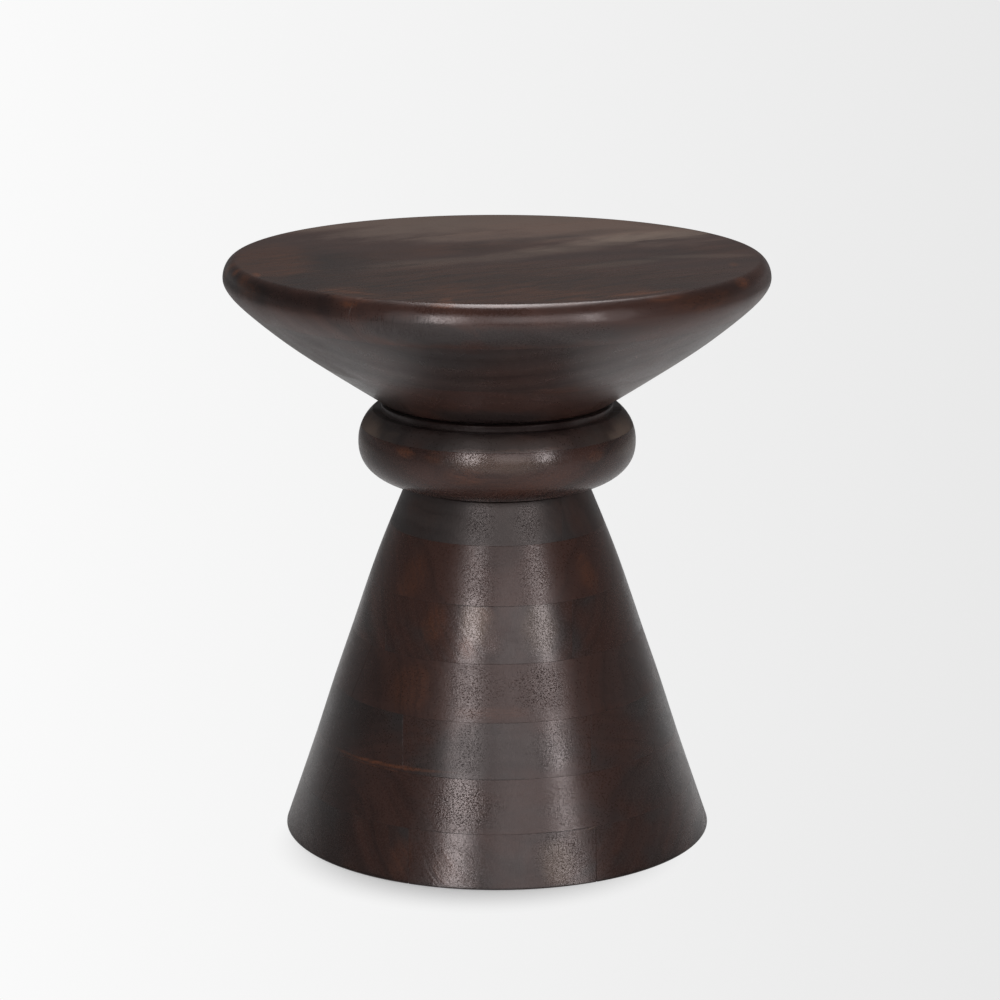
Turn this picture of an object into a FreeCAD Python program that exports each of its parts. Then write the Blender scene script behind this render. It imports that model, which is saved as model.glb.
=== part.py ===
import FreeCAD, Part
import math
import os

# Pedestal side table, turned on a lathe from glued hardwood boards. Three turned units stand on
# each other: a cone, a bead collar and a shallow bowl with a flat top. One central rod draws them
# together. Millimetres, +Z up, origin on the floor under the middle of the table, front towards -Y.

# Cone, from the wood's lower edge to the collar's seat
foot_radius = 183.5
neck_radius = 77.5
cone_height = 302.6
cone_crown = 3.0
foot_edge_radius = 1.0
neck_edge_radius = 0.8
# Height share, and the share of the crown by which the side stands outside a straight line
cone_crown_shares = ((0.29, 0.32), (0.42, 0.70), (0.57, 0.83), (0.80, 1.00))
# Board thicknesses from the floor up, as shares of the cone's height
cone_layer_shares = (0.142, 0.141, 0.147, 0.152, 0.150, 0.156, 0.112)

# Bead collar. A round's reach is how far it gains in radius, and an inset how far a piece stands in
bead_radius = 118.0
bead_low_reach = 58.1
bead_low_height = 36.7
bead_low_fullness_share = 2.33
bead_high_reach = 38.3
bead_high_height = 36.3
bead_high_fullness_share = 2.10
bead_cut_share = 0.76
ring_inset = 19.5
ring_height = 5.2
ring_edge_radius = 0.8
shadow_gap_depth = 7.5
shadow_gap_height = 1.6
# Board thicknesses from the cone up, as shares of the collar's height
collar_layer_shares = (0.71, 0.29)

# Bowl and its flat top
bowl_foot_inset = 2.5
bowl_foot_edge_radius = 1.2
bowl_side_height = 86.9
bowl_crown = 5.5
rim_radius = 230.3
rim_low_reach = 14.1
rim_low_height = 20.5
rim_high_reach = 11.2
rim_high_height = 15.7
rim_fullness_share = 1.97
# Height share, and the share of the crown by which the side stands outside a straight line
bowl_crown_shares = ((0.21, 0.47), (0.41, 0.83), (0.62, 1.00), (0.83, 0.64))
# Height share of the rim's lower round, and the share of its reach that the outline has gained
rim_low_shares = ((0.31, 0.45), (0.63, 0.81))
# Board thicknesses from the collar up, as shares of the bowl's height
bowl_layer_shares = (0.319, 0.382, 0.299)

# Boards. A layer's run is the angle from X to its grain. Its joints are placed from the middle, as
# shares of the unit's radius there, from front to back or, where boards run along Y, left to right.
along_x_angle = 0.0
along_y_angle = -90.0
face_run_angle = 31.0
cone_joint_shares = (
    (along_y_angle, (-0.40, 0.45)),
    (along_x_angle, (-0.465, 0.465)),
    (along_y_angle, (-0.51, 0.51)),
    (along_x_angle, (-0.48, 0.66)),
    (along_y_angle, (-0.77, 0.515)),
    (along_x_angle, (0.15,)),
    (along_y_angle, (0.61,)),
)
collar_joint_shares = (
    (along_x_angle, (0.08,)),
    (along_x_angle, (-0.12,)),
)
bowl_joint_shares = (
    (face_run_angle, (0.02,)),
    (along_x_angle, (-0.33, 0.31)),
    (face_run_angle, (-0.48, 0.01, 0.50)),
)

# Central rod with its nut and washer below, and its threaded insert in the bowl
rod_diameter = 12.0
rod_chamfer = 1.0
rod_clearance = 0.5
thread_clearance = 0.1
rod_below_nut = 2.5
rod_in_insert = 21.0
nut_across_flats = 19.0
nut_thickness = 10.8
nut_sides = 6
washer_diameter = 37.0
washer_thickness = 3.0
pocket_depth = 26.0
pocket_clearance = 1.5
insert_diameter = 18.0
insert_length = 25.0
insert_flange_diameter = 24.0
insert_flange_thickness = 2.0

# Dowels that key the collar to the cone and the bowl to the collar
dowel_diameter = 10.0
dowel_length = 32.0
dowel_chamfer = 1.0
dowel_end_clearance = 1.0
low_dowel_circle_radius = 45.0
high_dowel_circle_radius = 60.0

# Nylon glides, let into the cone's lower face and held by one nail each
glide_diameter = 22.0
glide_height = 3.0
glide_sunk_depth = 2.0
glide_edge_radius = 0.8
glide_clearance = 0.15
glide_inset = 25.5
glide_first_angle = 45.0
nail_diameter = 2.2
nail_length = 18.0
nail_point_length = 3.0
nail_head_diameter = 6.4
nail_head_thickness = 1.0
nail_head_depth = 0.6
nail_clearance = 0.15

# Shared by all close fits, by all cuts, and by the search for an edge
fit_clearance = 0.05
overrun = 5.0
edge_tolerance = 0.05

# Points along a round, and the share that ends it at its crest
round_steps = 8
whole_share = 1.0

# Radii and circles that follow from those above
bead_seat_radius = bead_radius - bead_low_reach
bead_crest_radius = bead_radius - bead_high_reach
ring_radius = bead_radius - ring_inset
shadow_gap_radius = ring_radius - shadow_gap_depth
bowl_foot_radius = ring_radius - bowl_foot_inset
bowl_side_radius = rim_radius - rim_low_reach
face_radius = rim_radius - rim_high_reach
glide_circle_radius = foot_radius - glide_inset

# Heights of the seams above the floor
wood_z = glide_height - glide_sunk_depth
cone_top_z = wood_z + cone_height
bead_z = cone_top_z + bead_low_height
ledge_z = bead_z + bead_high_height * bead_cut_share
ring_z = ledge_z + ring_height
bowl_z = ring_z + shadow_gap_height
side_z = bowl_z + bowl_side_height
rim_z = side_z + rim_low_height
face_z = rim_z + rim_high_height
pocket_z = wood_z + pocket_depth
nail_seat_z = nail_head_depth + nail_head_thickness


def at(radius, height):
    """A point of a turned outline, in the XZ plane."""
    return FreeCAD.Vector(radius, 0, height)


def line(start, end):
    return Part.LineSegment(start, end).toShape()


def smooth(points, start_way, end_way):
    """One curve through the points that leaves and arrives along the two directions."""
    curve = Part.BSplineCurve()
    curve.interpolate(Points=points, InitialTangent=start_way, FinalTangent=end_way)
    return curve.toShape()


def rounded(centre_radius, centre_z, reach, rise, fullness_share, end_share):
    """A round from its widest point towards its crest, as a quarter of an ellipse whose powers of 2
    are fullness_share instead. It stops where its height is end_share of the rise, up or down."""
    end_angle = math.asin(end_share ** (fullness_share / 2))
    points = []
    for step in range(round_steps + 1):
        angle = end_angle * step / round_steps
        across = max(math.cos(angle), 0.0) ** (2 / fullness_share)
        along = math.sin(angle) ** (2 / fullness_share)
        points.append(at(centre_radius + reach * across, centre_z + rise * along))
    end_way = at(-reach * along ** (fullness_share - 1), rise * across ** (fullness_share - 1))
    return smooth(points, at(0, rise), end_way), points[-1]


def turned(edges):
    """The solid that a closed outline sweeps round the table's axis."""
    outline = Part.Wire(Part.__sortEdges__(edges))
    return Part.Face(outline).revolve(FreeCAD.Vector(), FreeCAD.Vector(0, 0, 1), 360)


def eased(solid, radius, height, round_radius):
    """The solid with its round edge of this radius and height eased."""
    found = []
    for edge in solid.Edges:
        box = edge.BoundBox
        flat = box.ZLength < edge_tolerance and abs(box.ZMax - height) < edge_tolerance
        if flat and abs(box.XMax - radius) < edge_tolerance:
            found.append(edge)
    return solid.makeFillet(round_radius, found)


def post(radius, bottom, top, x=0, y=0):
    """An upright round bar, or the hole for one."""
    return Part.makeCylinder(radius, top - bottom, FreeCAD.Vector(x, y, bottom))


def on_circle(radius, angle):
    """X and Y of a point on a circle about the axis, with its angle in degrees from +X."""
    turn = math.radians(angle)
    return radius * math.cos(turn), radius * math.sin(turn)


def side_points(low_radius, high_radius, bottom, height, crown, shares):
    """Points of a side that stands outside a straight line by shares of its crown."""
    points = [at(low_radius, bottom)]
    for height_share, crown_share in shares:
        straight = low_radius + (high_radius - low_radius) * height_share
        points.append(at(straight + crown * crown_share, bottom + height * height_share))
    points.append(at(high_radius, bottom + height))
    return points


def cone_blank():
    """The foot: a cone whose side stands a little outside a straight line."""
    side = side_points(foot_radius, neck_radius, wood_z, cone_height, cone_crown, cone_crown_shares)
    solid = turned([
        line(at(0, wood_z), side[0]),
        smooth(side, side[1] - side[0], side[-1] - side[-2]),
        line(side[-1], at(0, cone_top_z)),
        line(at(0, cone_top_z), at(0, wood_z)),
    ])
    solid = eased(solid, foot_radius, wood_z, foot_edge_radius)
    return eased(solid, neck_radius, cone_top_z, neck_edge_radius)


def collar_blank():
    """The bead, cut level near its crest under a small ring, and the step that carries the bowl."""
    low, seat = rounded(bead_seat_radius, bead_z, bead_low_reach, -bead_low_height,
                        bead_low_fullness_share, whole_share)
    high, ledge = rounded(bead_crest_radius, bead_z, bead_high_reach, bead_high_height,
                          bead_high_fullness_share, bead_cut_share)
    solid = turned([
        line(at(0, cone_top_z), seat),
        low,
        high,
        line(ledge, at(ring_radius, ledge_z)),
        line(at(ring_radius, ledge_z), at(ring_radius, ring_z)),
        line(at(ring_radius, ring_z), at(shadow_gap_radius, ring_z)),
        line(at(shadow_gap_radius, ring_z), at(shadow_gap_radius, bowl_z)),
        line(at(shadow_gap_radius, bowl_z), at(0, bowl_z)),
        line(at(0, bowl_z), at(0, cone_top_z)),
    ])
    return eased(solid, ring_radius, ring_z, ring_edge_radius)


def bowl_blank():
    """The top: a shallow bowl shape, solid, whose soft rim turns over into a flat face."""
    side = side_points(bowl_foot_radius, bowl_side_radius, bowl_z, bowl_side_height,
                       bowl_crown, bowl_crown_shares)
    for height_share, reach_share in rim_low_shares:
        side.append(at(bowl_side_radius + rim_low_reach * reach_share,
                       side_z + rim_low_height * height_share))
    side.append(at(rim_radius, rim_z))
    crest, crest_end = rounded(face_radius, rim_z, rim_high_reach, rim_high_height,
                               rim_fullness_share, whole_share)
    solid = turned([
        line(at(0, bowl_z), side[0]),
        smooth(side, side[1] - side[0], FreeCAD.Vector(0, 0, 1)),
        crest,
        line(crest_end, at(0, face_z)),
        line(at(0, face_z), at(0, bowl_z)),
    ])
    return eased(solid, bowl_foot_radius, bowl_z, bowl_foot_edge_radius)


def layer_levels(bottom, top, shares):
    """The heights of a unit's glue lines, between its lower and its upper face."""
    levels = [bottom]
    for share in shares[:-1]:
        levels.append(levels[-1] + (top - bottom) * share)
    return levels + [top]


def layer_boards(blank, bottom, top, run, places):
    """The boards of one layer, cut from the unit along its joints."""
    box = blank.BoundBox
    reach = math.hypot(box.XLength, box.YLength) / 2 + overrun
    sides = [-reach] + places + [reach]
    pieces = []
    for start, end in zip(sides[:-1], sides[1:]):
        slab = Part.makeBox(2 * reach, end - start, top - bottom, FreeCAD.Vector(-reach, start, bottom))
        slab.rotate(FreeCAD.Vector(), FreeCAD.Vector(0, 0, 1), run)
        pieces.append(blank.common(slab))
    return pieces


def board_names(run, count):
    """Words for a layer's boards in their order across the run."""
    middles = {2: [], 3: ["middle"], 4: ["middle_front", "middle_back"]}[count]
    first, last = ("front", "back") if run >= 0 else ("left", "right")
    return [first] + middles + [last]


def unit_boards(unit, blank, levels, joint_shares, low_radius, high_radius):
    """Every board of a unit, by node name. Layers are numbered from the floor up. The joints follow
    a radius that goes straight from the unit's lower face to its upper one."""
    pieces = {}
    for number, (run, shares) in enumerate(joint_shares):
        bottom, top = levels[number:number + 2]
        height_share = (bottom - levels[0]) / (levels[-1] - levels[0])
        radius = low_radius + (high_radius - low_radius) * height_share
        layer = layer_boards(blank, bottom, top, run, [share * radius for share in shares])
        for word, board in zip(board_names(run, len(layer)), layer):
            pieces[f"{unit}_{number + 1}_{word}"] = board
    return pieces


def dowel_places(circle_radius):
    """A pair of dowels, in front of the rod and behind it."""
    return {"front": (0, -circle_radius), "back": (0, circle_radius)}


def dowel_holes(circle_radius, seam):
    radius = dowel_diameter / 2 + fit_clearance
    depth = dowel_length / 2 + dowel_end_clearance
    return [post(radius, seam - depth, seam + depth, x, y) for x, y in dowel_places(circle_radius).values()]


def glide_places():
    """The four glides, by the corner of the room that they stand towards."""
    words = ("back_right", "back_left", "front_left", "front_right")
    step = 360 / len(words)
    return {
        word: on_circle(glide_circle_radius, glide_first_angle + step * number)
        for number, word in enumerate(words)
    }


def drilled_cone():
    """The cone with its rod bore, the pocket for the nut, its dowel holes, and a recess and a nail
    hole for each glide."""
    holes = [
        post(rod_diameter / 2 + rod_clearance, wood_z - overrun, cone_top_z + overrun),
        post(washer_diameter / 2 + pocket_clearance, wood_z - overrun, pocket_z),
    ]
    holes += dowel_holes(low_dowel_circle_radius, cone_top_z)
    nail_top = nail_seat_z + nail_length + fit_clearance
    for x, y in glide_places().values():
        holes.append(post(glide_diameter / 2 + glide_clearance, wood_z - overrun, glide_height, x, y))
        holes.append(post(nail_diameter / 2 + fit_clearance, wood_z - overrun, nail_top, x, y))
    return cone_blank().cut(holes)


def drilled_collar():
    """The collar with its rod bore and the dowel holes in both faces."""
    holes = [post(rod_diameter / 2 + rod_clearance, cone_top_z - overrun, bowl_z + overrun)]
    holes += dowel_holes(low_dowel_circle_radius, cone_top_z)
    holes += dowel_holes(high_dowel_circle_radius, bowl_z)
    return collar_blank().cut(holes)


def drilled_bowl():
    """The bowl with its dowel holes and the stepped hole for the threaded insert."""
    holes = [
        post(insert_diameter / 2 + fit_clearance, bowl_z - overrun, bowl_z + insert_length),
        post(insert_flange_diameter / 2 + fit_clearance, bowl_z - overrun, bowl_z + insert_flange_thickness),
    ]
    holes += dowel_holes(high_dowel_circle_radius, bowl_z)
    return bowl_blank().cut(holes)


def spun(points):
    """The solid that a closed outline of straight runs sweeps round its own axis."""
    corners = [at(radius, height) for radius, height in points]
    return turned([line(start, end) for start, end in zip(corners, corners[1:] + corners[:1])])


def chamfered_bar(radius, bottom, top, chamfer):
    return spun([
        (0, bottom),
        (radius - chamfer, bottom),
        (radius, bottom + chamfer),
        (radius, top - chamfer),
        (radius - chamfer, top),
        (0, top),
    ])


def tie_rod():
    """The threaded rod, from under the nut up into the insert. Its thread is left plain."""
    bottom = pocket_z - washer_thickness - nut_thickness - rod_below_nut
    return chamfered_bar(rod_diameter / 2, bottom, bowl_z + rod_in_insert, rod_chamfer)


def rod_washer():
    """The broad washer, against the roof of the pocket."""
    disc = post(washer_diameter / 2, pocket_z - washer_thickness, pocket_z)
    return disc.cut(post(rod_diameter / 2 + rod_clearance, wood_z, pocket_z + overrun))


def rod_nut():
    """The hexagon nut under the washer, with its corners eased at both faces."""
    top = pocket_z - washer_thickness
    bottom = top - nut_thickness
    flat = nut_across_flats / 2
    corner = flat / math.cos(math.pi / nut_sides)
    ring = [FreeCAD.Vector(*on_circle(corner, 360 * side / nut_sides), bottom) for side in range(nut_sides)]
    hexagon = Part.Face(Part.makePolygon(ring + ring[:1])).extrude(FreeCAD.Vector(0, 0, nut_thickness))
    easing = chamfered_bar(corner, bottom, top, corner - flat)
    bore = post(rod_diameter / 2 + thread_clearance, bottom - overrun, top + overrun)
    return hexagon.common(easing).cut(bore)


def threaded_insert():
    """The flanged steel insert, flush with the bowl's underside."""
    body = post(insert_diameter / 2, bowl_z, bowl_z + insert_length)
    flange = post(insert_flange_diameter / 2, bowl_z, bowl_z + insert_flange_thickness)
    bore = post(rod_diameter / 2 + thread_clearance, bowl_z - overrun, bowl_z + insert_length + overrun)
    return body.fuse(flange).cut(bore).removeSplitter()


def dowel(x, y, seam):
    bar = chamfered_bar(dowel_diameter / 2, seam - dowel_length / 2, seam + dowel_length / 2, dowel_chamfer)
    bar.translate(FreeCAD.Vector(x, y, 0))
    return bar


def glide(x, y):
    """A nylon disc with a soft lower edge, and a recess that keeps the nail's head off the floor."""
    disc = eased(post(glide_diameter / 2, 0, glide_height), glide_diameter / 2, 0, glide_edge_radius)
    recess = post(nail_head_diameter / 2 + nail_clearance, -overrun, nail_seat_z)
    hole = post(nail_diameter / 2 + nail_clearance, -overrun, glide_height + overrun)
    disc = disc.cut([recess, hole])
    disc.translate(FreeCAD.Vector(x, y, 0))
    return disc


def glide_nail(x, y):
    """A round-headed steel nail, driven up through the glide into the lowest board."""
    shank = nail_diameter / 2
    tip = nail_seat_z + nail_length
    nail = spun([
        (0, nail_seat_z - nail_head_thickness),
        (nail_head_diameter / 2, nail_seat_z - nail_head_thickness),
        (nail_head_diameter / 2, nail_seat_z),
        (shank, nail_seat_z),
        (shank, tip - nail_point_length),
        (0, tip),
    ])
    nail.translate(FreeCAD.Vector(x, y, 0))
    return nail


def table():
    """Every piece of the table, by node name."""
    cone_levels = layer_levels(wood_z, cone_top_z, cone_layer_shares)
    collar_levels = layer_levels(cone_top_z, bowl_z, collar_layer_shares)
    bowl_levels = layer_levels(bowl_z, face_z, bowl_layer_shares)
    pieces = unit_boards("cone", drilled_cone(), cone_levels, cone_joint_shares, foot_radius, neck_radius)
    pieces |= unit_boards("collar", drilled_collar(), collar_levels, collar_joint_shares,
                          bead_radius, bead_radius)
    pieces |= unit_boards("bowl", drilled_bowl(), bowl_levels, bowl_joint_shares, rim_radius, rim_radius)
    pieces["tie_rod"] = tie_rod()
    pieces["rod_washer"] = rod_washer()
    pieces["rod_nut"] = rod_nut()
    pieces["threaded_insert"] = threaded_insert()
    for word, (x, y) in dowel_places(low_dowel_circle_radius).items():
        pieces[f"low_dowel_{word}"] = dowel(x, y, cone_top_z)
    for word, (x, y) in dowel_places(high_dowel_circle_radius).items():
        pieces[f"high_dowel_{word}"] = dowel(x, y, bowl_z)
    for word, (x, y) in glide_places().items():
        pieces[f"glide_{word}"] = glide(x, y)
        pieces[f"glide_nail_{word}"] = glide_nail(x, y)
    return pieces


os.makedirs("parts", exist_ok=True)
for node, shape in table().items():
    solids = shape.Solids
    assert shape.isValid() and len(solids) == 1, node
    solids[0].exportStep(f"parts/{node}.step")
    print(f"{node}: {solids[0].Volume:.0f} mm3")
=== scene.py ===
import math

import bpy
import numpy as np
from bpy.props import FloatProperty, FloatVectorProperty, PointerProperty
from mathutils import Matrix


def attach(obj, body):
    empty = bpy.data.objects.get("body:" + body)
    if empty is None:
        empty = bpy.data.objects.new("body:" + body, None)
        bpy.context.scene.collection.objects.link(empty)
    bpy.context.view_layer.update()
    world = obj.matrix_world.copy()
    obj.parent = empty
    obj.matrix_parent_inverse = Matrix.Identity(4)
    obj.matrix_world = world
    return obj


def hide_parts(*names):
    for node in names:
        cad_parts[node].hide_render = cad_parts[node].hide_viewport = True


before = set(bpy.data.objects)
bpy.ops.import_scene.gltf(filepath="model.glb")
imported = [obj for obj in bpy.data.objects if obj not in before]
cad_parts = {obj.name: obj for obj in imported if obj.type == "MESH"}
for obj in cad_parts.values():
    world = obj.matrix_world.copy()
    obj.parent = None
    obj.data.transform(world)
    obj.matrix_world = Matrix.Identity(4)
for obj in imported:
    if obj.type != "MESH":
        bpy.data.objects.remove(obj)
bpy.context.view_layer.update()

bl_info = {
    "name": "Turned pedestal table",
    "version": (1, 0, 0),
    "blender": (4, 5, 0),
    "location": "3D Viewport > Sidebar > Table",
    "description": "Builds the boards, finishes and stage of a lathe-turned pedestal side table",
    "category": "Add Mesh",
}

# Everything is in metres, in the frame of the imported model: the floor is at zero, the front is -Y.
BODY = "root"

# The run of a layer's boards, in degrees from X
ALONG_X = 0.0
ALONG_Y = -90.0
FACE_RUN = 31.0

# Layers from the floor up: share of the unit's height, run, and joints as shares of its radius
LAYERS = {
    "cone": (
        (0.142, ALONG_Y, (-0.40, 0.45)),
        (0.141, ALONG_X, (-0.465, 0.465)),
        (0.147, ALONG_Y, (-0.51, 0.51)),
        (0.152, ALONG_X, (-0.48, 0.66)),
        (0.150, ALONG_Y, (-0.77, 0.515)),
        (0.156, ALONG_X, (0.15,)),
        (0.112, ALONG_Y, (0.61,))),
    "collar": (
        (0.71, ALONG_X, (0.08,)),
        (0.29, ALONG_X, (-0.12,))),
    "bowl": (
        (0.319, FACE_RUN, (0.02,)),
        (0.382, ALONG_X, (-0.33, 0.31)),
        (0.299, FACE_RUN, (-0.48, 0.01, 0.50))),
}

# How far a side stands outside a straight line, as (height share, share of the crown)
CONE_CROWN_SHARES = ((0.0, 0.0), (0.29, 0.32), (0.42, 0.70), (0.57, 0.83), (0.80, 1.00), (1.0, 0.0))
BOWL_CROWN_SHARES = ((0.0, 0.0), (0.21, 0.47), (0.41, 0.83), (0.62, 1.00), (0.83, 0.64), (1.0, 0.0))
# The rim's lower round, as (height share, share of its reach)
RIM_LOW_SHARES = ((0.31, 0.45), (0.63, 0.81), (1.0, 1.0))

# A round is a quarter of an ellipse whose powers of 2 are its fullness instead
BEAD_LOW_FULLNESS = 2.33
BEAD_HIGH_FULLNESS = 2.10
RIM_FULLNESS = 1.97
# The bead is cut level at this share of its upper round, under the ring
BEAD_CUT_SHARE = 0.76

# Rows of an outline: their spacing on a long side and on a round, how close they lie to an edge, how
# far a face's first loop lies inside it, and their number on the rim's crest
ROW_SPACING = 0.0025
ROUND_SPACING = 0.0012
CLOSE = 0.0004
INWARD = 0.0006
CREST_ROWS = 28
EDGE_ANGLES = np.radians([0, 30, 60, 90])
# Points on the arc of a board at the side, and on each arc of a board between two joints
ARC_POINTS = 280
MIDDLE_ARC_POINTS = 224
SHARP_ANGLE = math.radians(40)

# The hidden bores, as rows of radius and rise from a unit's lower face or from the glue line between
# two units, and where they stand
DOWEL_BORE = ((0.00505, -0.017), (0.00505, 0.017))
LOW_DOWEL_Y = 0.045
HIGH_DOWEL_Y = 0.060
GLIDE_BORE = ((0.01115, -0.005), (0.01115, 0.002), (0.00115, 0.002), (0.00115, 0.01865))
GLIDE_RING_RADIUS = 0.158
ROD_BORE_RADIUS = 0.0065
POCKET_BORE = ((0.020, -0.005), (0.020, 0.026), (ROD_BORE_RADIUS, 0.026))
INSERT_BORE = ((0.01205, -0.005), (0.01205, 0.002), (0.00905, 0.002), (0.00905, 0.025))
BORE_OVERLAP = 0.005
# Points round a bore, and round one wider than that radius
BORE_POINTS = 48
WIDE_BORE_POINTS = 96
WIDE_BORE_RADIUS = 0.01


def metres(description, default):
    return FloatProperty(description=description, default=default, min=0.0, precision=4,
                         unit="LENGTH", subtype="DISTANCE")


def linear(red, green, blue):
    """A colour given as it looks on a screen, 0 to 255, as linear numbers from 0 to 1."""
    shown = np.array([red, green, blue]) / 255
    return tuple(np.where(shown <= 0.04045, shown / 12.92, ((shown + 0.055) / 1.055) ** 2.4))


def tint(description, shown):
    return FloatVectorProperty(description=description, default=linear(*shown),
                               min=0.0, max=1.0, size=3, subtype="COLOR")


def watts(description, default):
    return FloatProperty(description=description, default=default, min=0.0, unit="POWER")


class TurnedSizes(bpy.types.PropertyGroup):
    """Sizes of the three turned units."""
    wood_z: metres("Height of the wood's lower face above the floor", 0.001)
    foot_radius: metres("Radius of the cone at the floor", 0.1835)
    neck_radius: metres("Radius of the cone under the collar", 0.0775)
    cone_height: metres("Height of the cone", 0.3026)
    cone_crown: metres("How far the cone's side stands outside a straight line", 0.003)
    foot_edge: metres("Radius of the cone's lower edge", 0.001)
    neck_edge: metres("Radius of the cone's upper edge", 0.0008)
    bead_radius: metres("Radius of the collar's bead at its widest", 0.118)
    bead_low_reach: metres("How far the bead's lower round gains in radius", 0.0581)
    bead_low_height: metres("Height of the bead's lower round", 0.0367)
    bead_high_reach: metres("How far the bead's upper round falls in radius", 0.0383)
    bead_high_height: metres("Height the bead's upper round would have", 0.0363)
    ring_radius: metres("Radius of the small ring on the bead", 0.0985)
    ring_height: metres("Height of the small ring", 0.0052)
    ring_edge: metres("Radius of the ring's upper edge", 0.0008)
    gap_radius: metres("Radius of the step between ring and bowl", 0.091)
    gap_height: metres("Height of the step between ring and bowl", 0.0016)
    bowl_foot_radius: metres("Radius of the bowl's lower face", 0.096)
    bowl_foot_edge: metres("Radius of the bowl's lower edge", 0.0012)
    bowl_side_height: metres("Height of the bowl's side under its rim", 0.0869)
    bowl_crown: metres("How far the bowl's side stands outside a straight line", 0.0055)
    rim_radius: metres("Radius of the top at its widest", 0.2303)
    rim_low_reach: metres("How far the rim's lower round gains in radius", 0.0141)
    rim_low_height: metres("Height of the rim's lower round", 0.0205)
    rim_high_reach: metres("How far the rim's upper round falls in radius", 0.0112)
    rim_high_height: metres("Height of the rim's upper round", 0.0157)
    seam_edge: metres("How far a board's edges are eased at its glue lines", 0.00008)


class WoodColours(bpy.types.PropertyGroup):
    """Colours of the wood and its stain."""
    ashen: tint("Stain on the greyer boards", (54, 49, 48))
    russet: tint("Stain on the browner boards", (66, 44, 38))
    # Also painted as shade: on the flanks, along the foot's lower edge, on the ring and on the face's front
    deep: tint("Stain in the dark bands and pores", (28, 20, 19))
    # Also painted as highlights on the lamps' streaks and as reflection on the bead's flanks and the face's
    # back
    pale: tint("Stain on the light streaks of the face", (112, 95, 84))
    rubbed: tint("Wood where the stain is thin", (124, 72, 42))
    glue: tint("Stain caught in the glue lines", (18, 12, 11))
    beech: tint("Plain wood of the dowels", (196, 158, 118))


class HardwareColours(bpy.types.PropertyGroup):
    """Colours of the metal and plastic parts."""
    zinc: tint("Bright zinc plating", (190, 192, 195))
    zinc_dull: tint("Zinc where it has dulled", (140, 141, 140))
    nylon: tint("Glides", (206, 203, 194))


class StageLook(bpy.types.PropertyGroup):
    """The floor, the background and the lamps."""
    floor_left: tint("Floor and background on the left", (250, 250, 250))
    floor_right: tint("Floor and background on the right", (233, 233, 233))
    room: FloatProperty(description="Brightness of the room above the horizon", default=0.07)
    left_lamp: watts("Power of the tall lamp on the left", 22.0)
    right_lamp: watts("Power of the tall lamp on the right", 17.0)
    fill_lamp: watts("Power of the broad lamp between them", 15.3)
    back_lamp: watts("Power of the high lamp behind the table", 45.0)


def linked(name, data):
    """A new object in the scene."""
    obj = bpy.data.objects.new(name, data)
    bpy.context.scene.collection.objects.link(obj)
    return obj


# Shader nodes


class Wire:
    """A socket that can stand in a Python expression. Each operator, set below, adds one Math node."""

    def __init__(self, nodes, socket):
        self.nodes = nodes
        self.socket = socket

    def math(self, operation, *values):
        return self.nodes.node("Math", {"operation": operation}, dict(enumerate(values)))


for word, operation in (("add", "ADD"), ("sub", "SUBTRACT"), ("mul", "MULTIPLY"), ("truediv", "DIVIDE"),
                        ("pow", "POWER")):
    setattr(Wire, f"__{word}__", lambda self, other, name=operation: self.math(name, self, other))
    setattr(Wire, f"__r{word}__", lambda self, other, name=operation: self.math(name, other, self))


class Nodes:
    """The nodes of a material or of the world."""

    def __init__(self, owner):
        owner.use_nodes = True
        self.tree = owner.node_tree
        self.tree.nodes.clear()

    def node(self, kind, settings=None, sockets=None, take=0):
        """Adds a node: first its settings, then the values or links of its sockets by name or number.
        Gives the output named by take."""
        made = self.tree.nodes.new("ShaderNode" + kind)
        for key, value in (settings or {}).items():
            setattr(made, key, value)
        for key, value in (sockets or {}).items():
            if isinstance(value, Wire):
                self.tree.links.new(value.socket, made.inputs[key])
            else:
                made.inputs[key].default_value = value
        return Wire(self, made.outputs[take]) if made.outputs else made

    def smooth(self, value, start, end):
        """0 before start and 1 after end, with a soft step between."""
        return self.node("MapRange", {"interpolation_type": "SMOOTHSTEP"}, {
            "Value": value, "From Min": start, "From Max": end})

    def colours(self, share, first, second):
        """The second colour over the first, by a share."""
        return self.node("Mix", {"data_type": "RGBA"}, {0: share, 6: first, 7: second}, take=2)

    def noise(self, place, detail=2.0, roughness=0.5):
        """Soft noise from 0 to 1 whose lumps are about one unit of place across."""
        return self.node("TexNoise", None, {
            "Vector": place, "Scale": 1.0, "Detail": detail, "Roughness": roughness})

    def bands(self, distance, detail=2.0):
        """Soft uneven bands from 0 to 1, about one unit of distance apart."""
        return self.node("TexNoise", {"noise_dimensions": "1D"}, {
            "W": distance, "Scale": 1.0, "Detail": detail})

    def mapped(self, place, scale=(1.0, 1.0, 1.0), seat=(0.0, 0.0, 0.0), turn=0.0):
        """The place in a frame with that scale and seat, turned about z by degrees."""
        return self.node("Mapping", {"vector_type": "TEXTURE"}, {
            "Vector": place, "Location": seat, "Rotation": (0.0, 0.0, math.radians(turn)), "Scale": scale})

    def lumps(self, place, size, detail=2.0, roughness=0.5):
        """Noise in lumps of that size along x, y and z."""
        return self.noise(self.mapped(place, size), detail, roughness)

    def length(self, vector):
        return self.node("VectorMath", {"operation": "LENGTH"}, {0: vector}, take="Value")

    def axes(self, vector):
        return [self.node("SeparateXYZ", None, {0: vector}, take=axis) for axis in range(3)]

    def bump(self, height, distance):
        return self.node("Bump", None, {"Distance": distance, "Height": height})

    def rays(self):
        """1 for rays that come straight or through glass from the camera, and 1 for mirrored rays."""
        camera, through, glossy = (
            self.node("LightPath", take=f"Is {kind} Ray") for kind in ("Camera", "Transmission", "Glossy"))
        return camera + through, glossy

    def surface(self, sockets):
        """The Principled shader at the material's output."""
        self.node("OutputMaterial", None, {"Surface": self.node("BsdfPrincipled", None, sockets)})


def rgba(colour):
    return (*colour, 1.0)


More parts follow.
